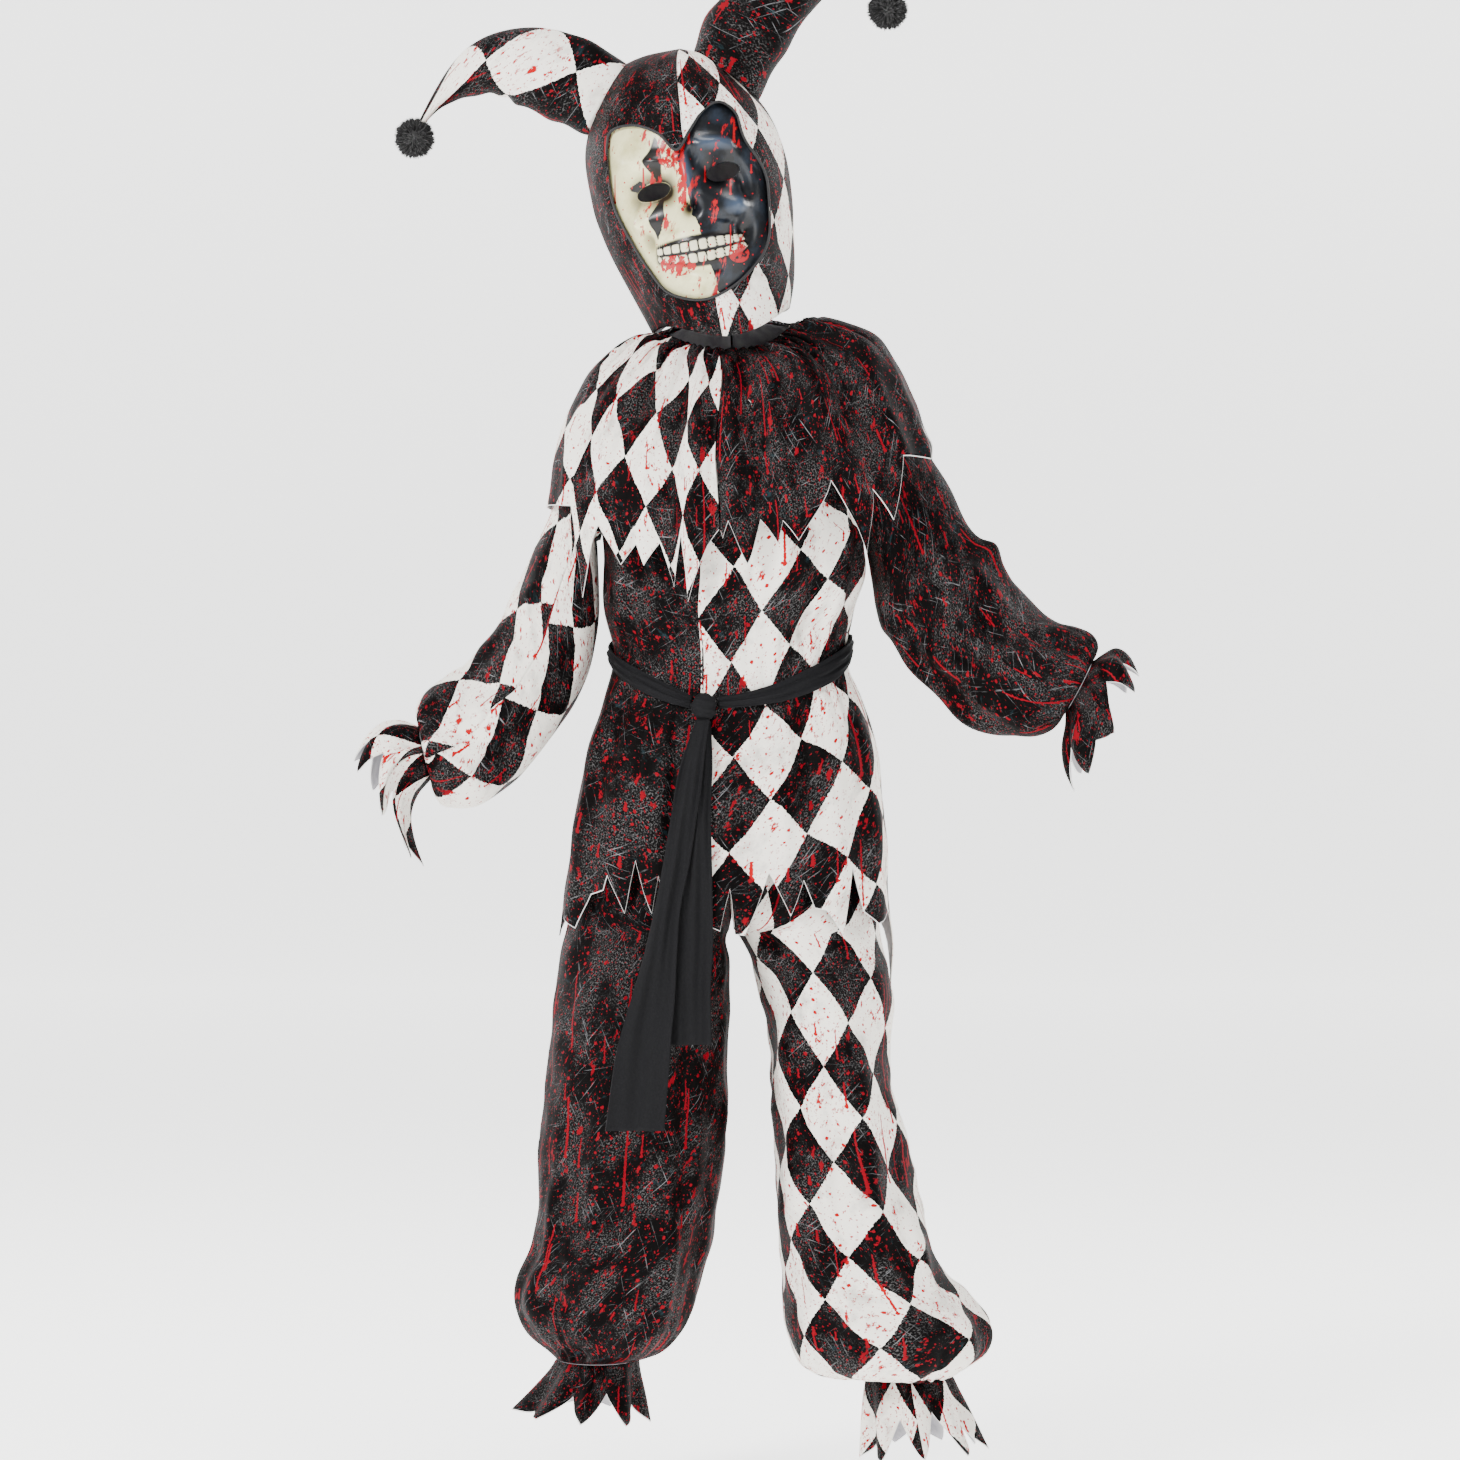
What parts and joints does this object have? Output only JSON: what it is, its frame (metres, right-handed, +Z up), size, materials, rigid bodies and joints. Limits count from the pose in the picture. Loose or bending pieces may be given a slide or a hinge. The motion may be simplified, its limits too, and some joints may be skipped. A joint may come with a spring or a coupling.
{
  "type": "jester costume",
  "caption": "Child's worn jester costume: horned hood with mask, caped zigzag tunic, bloused trousers and tied sash, hollow and open at neck, cuffs and ankles",
  "frame": {"origin": "the middle of the tunic's neck opening, where the wearer's neck passes through and the shoulders carry the costume", "axes": "+X to the wearer's left, -Y to the front, +Z up"},
  "size_m": [0.7374, 0.2775, 1.4299],
  "materials": {
    "black_print_cloth": "polyester knit printed charcoal black with grey scuffs and dark red drips",
    "diamond_print_cloth": "polyester knit printed with cream and black diamonds, grey scuffs and red drips",
    "sash_cloth": "plain matt black polyester jersey",
    "pompom_fur": "black long-pile fur",
    "mask_plastic": "thin moulded plastic, half painted bone and half gloss black, with red splashes"
  },
  "bodies": {
    "root": {"cape_left": "black_print_cloth", "tunic_front_right": "black_print_cloth", "tunic_back_right": "black_print_cloth", "sleeve_left": "black_print_cloth", "leg_right": "black_print_cloth", "cuff_frill_left": "black_print_cloth", "ankle_frill_right": "black_print_cloth", "hood_right": "black_print_cloth", "horn_left": "black_print_cloth", "cape_right": "diamond_print_cloth", "tunic_front_left": "diamond_print_cloth", "tunic_back_left": "diamond_print_cloth", "sleeve_right": "diamond_print_cloth", "leg_left": "diamond_print_cloth", "cuff_frill_right": "diamond_print_cloth", "ankle_frill_left": "diamond_print_cloth", "hood_left": "diamond_print_cloth", "horn_right": "diamond_print_cloth", "sash_front_right": "sash_cloth", "sash_front_left": "sash_cloth", "sash_back": "sash_cloth", "sash_knot": "sash_cloth", "sash_tail_long": "sash_cloth", "sash_tail_short": "sash_cloth", "pompom_right": "pompom_fur", "pompom_left": "pompom_fur", "mask": "mask_plastic"}
  },
  "joints": []
}
